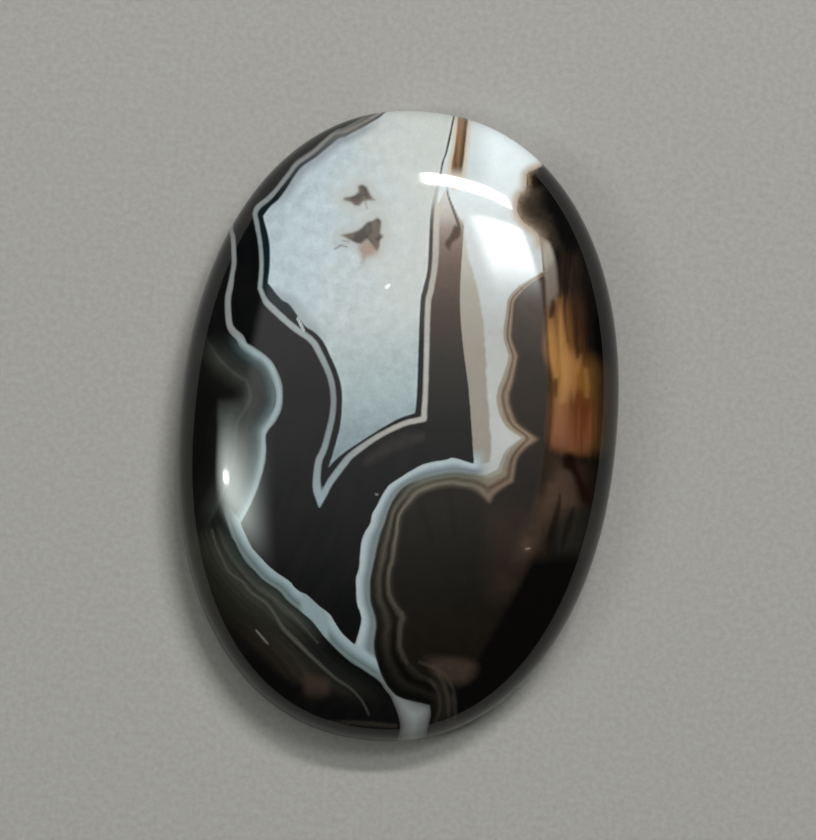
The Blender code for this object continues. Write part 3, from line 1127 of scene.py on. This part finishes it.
        glow = self.profile(
            self.across, (11.0, 90, 58, 27), (12.8, 84, 56, 25), (13.6, 72, 49, 24),
            (14.2, 46, 31, 17), (14.9, 30, 21, 13))
        glow = self.vary(glow, self.streak, 0.25)
        colour = self.mix(self.zone("amber_glow", 1.5, 0.45), colour, glow)
        ragged_along = self.add(self.along, self.spread(self.streak, 0.8, -0.8))
        gold = self.profile(
            ragged_along, (-1.9, 104, 68, 49), (-0.8, 128, 84, 59), (0.8, 134, 90, 60),
            (2.2, 146, 102, 66), (3.0, 158, 110, 64), (4.5, 160, 112, 64), (6.0, 150, 105, 60),
            (7.2, 130, 88, 53), (8.2, 100, 67, 42), (8.9, 62, 42, 30), (9.4, 46, 33, 26))
        rust = self.profile(
            ragged_along, (-1.9, 112, 69, 43), (-0.5, 110, 64, 37), (1.2, 94, 50, 24),
            (2.0, 98, 56, 24), (2.8, 116, 73, 25), (3.8, 108, 70, 26), (4.8, 78, 50, 25),
            (6.5, 54, 34, 19), (8.2, 50, 33, 23), (9.2, 38, 27, 22))
        rightward = self.add(self.across, self.spread(self.streak, -0.35, 0.35))
        further = self.times(self.within(self.along, 3.0, 4.2, 1.6), -0.55)
        amber = self.mix(self.fade(self.add(rightward, further), 11.2, 12.3), gold, rust)
        amber = self.vary(amber, self.streak, 0.28)
        colour = self.mix(self.zone("amber", 0.9, 0.2), colour, amber)
        rays = self.stroke("bright_rays", -0.3, 0.3, 0.4)
        colour = self.mix(rays, colour, (184, 138, 82))
        streaks = self.stroke("dark_streaks", -0.16, 0.14, 0.7)
        tone = self.mix(self.fade_along(-2.5, -4.0), (50, 31, 19), (20, 13, 9))
        colour = self.mix(streaks, colour, tone)
        return self.mix(self.zone("dark_blotch", 0.6, 0.05), colour, (26, 10, 5))

    def rust_stripe(self, colour):
        """The rust stripe in the net's top, streaky and darker at its right."""
        rust = self.mix(self.fade(self.streak, 0.4, 0.6), (104, 76, 54), (140, 108, 82))
        rightward = self.add(self.across, self.times(self.along, -0.14))
        rust = self.mix(self.fade(rightward, 1.5, 1.8), rust, (88, 70, 53))
        shown = self.times(self.zone("rust_stripe", 0.18), self.fade_along(16.9, 17.9))
        return self.mix(shown, colour, rust)

    def inclusions(self, colour):
        """Grey brown flakes in the milky zone, and the reddish tail of the lower one."""
        tail = self.stroke("reddish_inclusion", -0.2, 0.4, self.spread(self.cloud, 0.6, 1.0))
        colour = self.mix(tail, colour, (154, 124, 105))
        flake = self.mix(self.fade(self.medium, 0.4, 0.6), (72, 67, 60), (106, 95, 84))
        colour = self.mix(self.zone("lower_inclusion", 0.25, -0.02), colour, flake)
        colour = self.mix(self.zone("upper_inclusion", 0.28, -0.02), colour, flake)
        flecks = self.stroke("dark_flecks", -0.07, 0.07, 0.6)
        return self.mix(flecks, colour, flake)

    def fine_lines(self, colour):
        """The thin pale lines, dark spot and cracks, and bright painted pit glints over all."""
        faint = self.spread(self.wisp, 0.15, 0.5)
        for name, low, high, strength, tone in (
                ("lower_left_line", -0.1, 0.08, 0.7, (92, 90, 84)),
                ("wisps", -0.15, 0.12, faint, (88, 80, 71)),
                ("dark_spot", -0.14, 0.16, 0.95, (74, 52, 38)),
                ("crack", -0.06, 0.06, 0.85, (70, 60, 52))):
            colour = self.mix(self.stroke(name, low, high, strength), colour, tone)
        # Painted highlight: the pits are painted pale, near white in the upper part, for the glints
        # they catch.
        pit_glint_colour = self.profile(
            self.along, (0.0, 128, 124, 116), (5.0, 184, 192, 192), (8.0, 190, 198, 198),
            (9.2, 252, 253, 252))
        return self.mix(self.fade(self.field("pit_glints"), -0.07, 0.06), colour, pit_glint_colour)


def agate_material():
    material = bpy.data.materials.new("banded_agate")
    agate = Agate(material)
    colour = agate.body()
    for layer in (agate.lobe, agate.column, agate.milky, agate.pale_line, agate.net,
                  agate.fringe, agate.core, agate.right_side, agate.rust_stripe,
                  agate.inclusions, agate.fine_lines):
        colour = layer(colour)
    shader = agate.nodes["Principled BSDF"]
    agate.put(colour, shader.inputs["Base Color"])
    agate.put(agate.spread(agate.fine, *POLISH_ROUGHNESS), shader.inputs["Roughness"])
    shader.inputs["IOR"].default_value = AGATE_IOR
    return material


def floor_material():
    """Pale matt paper with a faint grain."""
    material = bpy.data.materials.new("pale_paper")
    g = Shading(material)
    coordinates = g.node("TexCoord", {}).outputs["Object"]
    grain = g.noise(coordinates, PAPER_GRAIN, detail=4, roughness=0.6)
    dark, light = PAPER_COLOURS
    paper = g.mix(g.fade(grain, 0.25, 0.75), dark, light)
    shader = g.nodes["Principled BSDF"]
    g.put(paper, shader.inputs["Base Color"])
    shader.inputs["Roughness"].default_value = PAPER_ROUGHNESS
    return material


# The studio

def make_floor():
    bpy.ops.mesh.primitive_plane_add(size=FLOOR_SIZE, location=(0, 0, STONE_LOW[2] - FLOOR_GAP))
    floor = bpy.context.object
    floor.name = "floor"
    floor.data.materials.append(floor_material())


def softbox_glow(data, fades):
    """Makes a rectangular light dimmer towards its edges, as a cloth softbox is."""
    g = Shading(data)
    place = g.node("NewGeometry", {}).outputs["Parametric"]
    x, y, _ = g.node("SeparateXYZ", {0: place}).outputs
    left, right, lower, upper = fades
    from_below = g.fade(y, 0.0, lower)
    glow = g.times(
        g.fade(x, 0.0, left), g.fade(x, 1.0, 1.0 - right),
        from_below, from_below, g.fade(y, 1.0, 1.0 - upper))
    g.put(glow, g.nodes["Emission"].inputs["Strength"])


def make_light(name, height, middle, size, brightness, fades, turn=0, colour=(1, 1, 1)):
    data = bpy.data.lights.new(name, "AREA")
    data.shape = "RECTANGLE"
    data.size = size[0] * height
    data.size_y = size[1] * height
    data.energy = brightness * math.pi * data.size * data.size_y
    data.color = colour
    softbox_glow(data, fades)
    light = add_object(name, data)
    light.location = (*image_axes_to_stone(middle[0] * height, middle[1] * height), height)
    light.rotation_euler = (0, 0, STONE_TILT + math.radians(turn))


def make_studio():
    make_floor()
    for name, settings in LIGHTS.items():
        make_light(name, **settings)
    world = bpy.data.worlds.new("dim_room")
    world.use_nodes = True
    background = world.node_tree.nodes["Background"]
    background.inputs["Color"].default_value = (*[ROOM_BRIGHTNESS] * 3, 1)
    bpy.context.scene.world = world
    bpy.context.scene.view_settings.view_transform = "Standard"


def make_camera():
    """Looks straight down, as the photo does, with the stone turned in the frame."""
    data = bpy.data.cameras.new("camera")
    data.sensor_fit = "HORIZONTAL"
    data.sensor_width = SENSOR_WIDTH
    frame_width = IMAGE_WIDTH / PX_PER_MM * MM
    data.lens = SENSOR_WIDTH * (CAMERA_HEIGHT - WALL_HEIGHT) / frame_width
    data.clip_start = CAMERA_CLIP_START
    camera = add_object("camera", data)
    x, y = image_to_stone(IMAGE_WIDTH / 2, IMAGE_HEIGHT / 2)
    camera.location = (x, y, CAMERA_HEIGHT)
    camera.rotation_euler = (0, 0, STONE_TILT)
    bpy.context.scene.camera = camera


stone = make_stone()
stone.data.materials.append(agate_material())
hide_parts("agate_cabochon")
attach(stone, "root")
make_studio()
make_camera()
